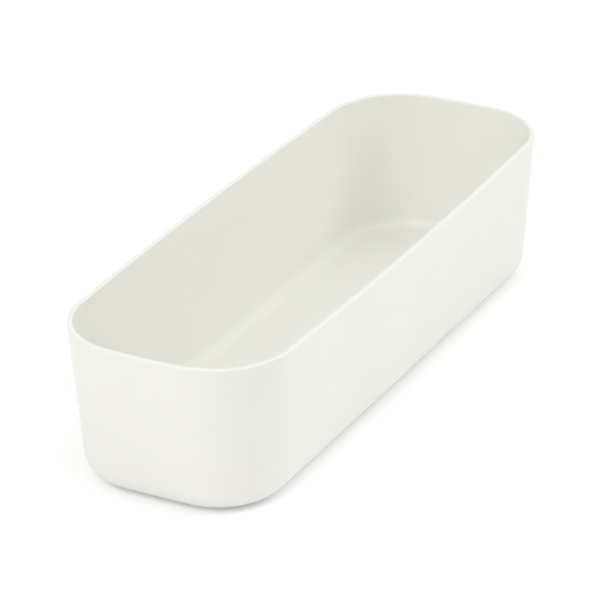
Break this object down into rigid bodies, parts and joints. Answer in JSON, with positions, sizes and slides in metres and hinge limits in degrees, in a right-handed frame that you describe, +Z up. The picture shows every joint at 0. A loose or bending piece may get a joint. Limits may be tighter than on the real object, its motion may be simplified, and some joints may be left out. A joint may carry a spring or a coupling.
{
  "type": "open drawer storage bin",
  "caption": "Long narrow open-top storage bin with rounded corners, drafted walls and a rounded base edge, on soft non-slip feet, for keeping pens, notes and small parts in a drawer.",
  "frame": {"origin": "on the resting plane under the middle of the bin", "axes": "+X along the bin's length, +Y across it, +Z up out of the open top"},
  "size_m": [0.2938, 0.1034, 0.0688],
  "materials": {
    "bin_plastic": "semi-gloss moulded off-white",
    "foot_rubber": "matt soft"
  },
  "bodies": {
    "root": {"bin": "bin_plastic", "front_left_foot": "foot_rubber", "front_right_foot": "foot_rubber", "rear_left_foot": "foot_rubber", "rear_right_foot": "foot_rubber"}
  },
  "joints": []
}
